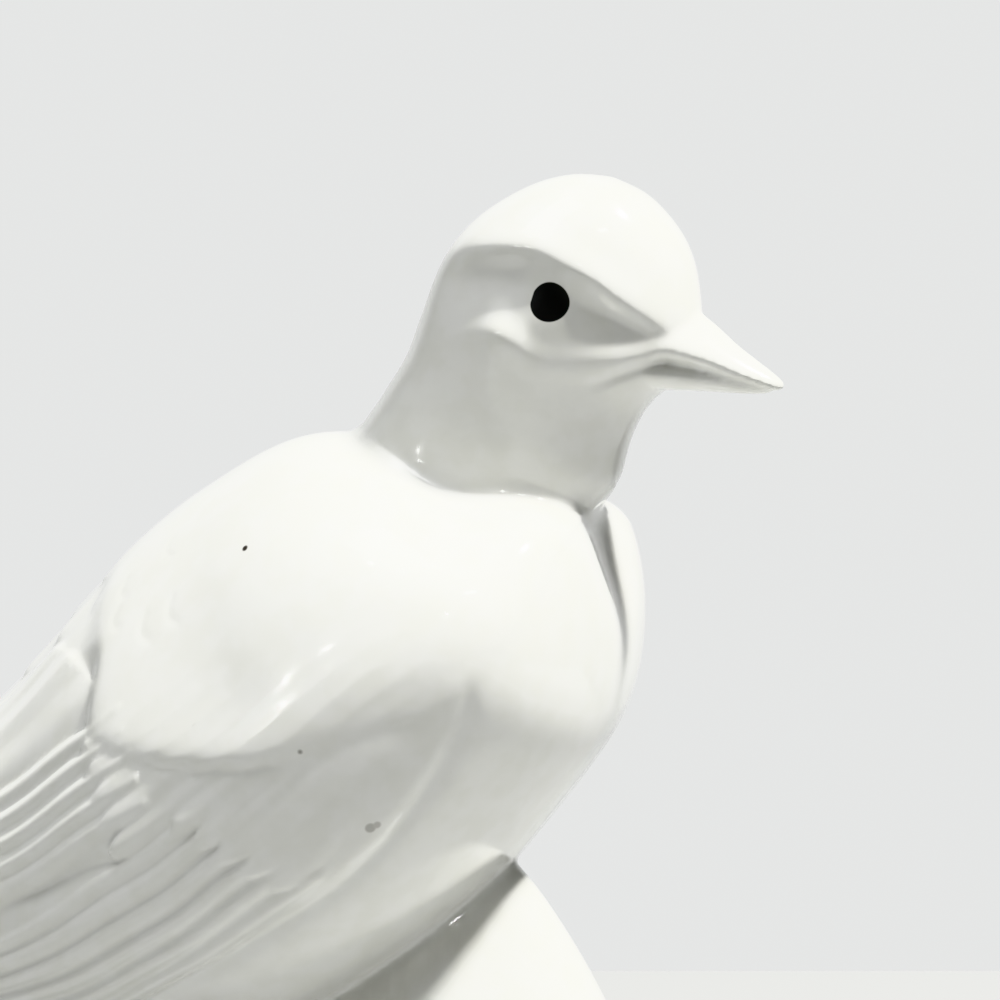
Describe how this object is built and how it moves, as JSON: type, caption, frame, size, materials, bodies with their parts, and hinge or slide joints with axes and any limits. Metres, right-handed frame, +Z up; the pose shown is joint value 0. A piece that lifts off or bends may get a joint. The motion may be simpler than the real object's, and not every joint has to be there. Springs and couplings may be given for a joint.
{
  "type": "ceramic dove figurine",
  "caption": "White glazed ceramic dove with folded wings, carved feather rows and a painted eye, resting on a smooth oval mound with a flat underside.",
  "frame": {"origin": "middle of the mound's flat underside", "axes": "+X towards the beak, +Y towards the bird's left wing, +Z up"},
  "size_m": [0.1914, 0.0822, 0.1609],
  "materials": {
    "white_glaze": "gloss"
  },
  "bodies": {
    "root": {"dove_figurine": "white_glaze"}
  },
  "joints": []
}
